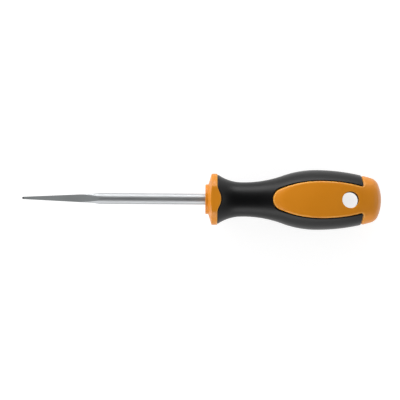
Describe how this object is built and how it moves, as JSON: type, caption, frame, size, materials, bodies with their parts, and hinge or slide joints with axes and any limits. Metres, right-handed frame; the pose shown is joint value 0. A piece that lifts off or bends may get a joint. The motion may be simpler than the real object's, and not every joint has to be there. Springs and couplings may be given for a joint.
{
  "type": "bradawl",
  "caption": "Bradawl with a square tapered steel point on a round shank, in a waisted hard-plastic handle with a flange, a soft overmoulded grip, bare windows and a hanging hole.",
  "frame": {"origin": "on the tool's axis, at the nose of the handle where the shank comes out", "axes": "+X along the tool from the nose to the butt, with the tip towards -X; +Z along the hanging hole, out of the upper window"},
  "size_m": [0.196, 0.0326, 0.0278],
  "materials": {
    "steel": "polished shank, satin ground point",
    "orange_plastic": "satin, fine moulded grain",
    "black_soft_plastic": "soft satin, fine moulded grain"
  },
  "bodies": {
    "root": {"blade": "steel", "handle_core": "orange_plastic", "grip": "black_soft_plastic"}
  },
  "joints": []
}
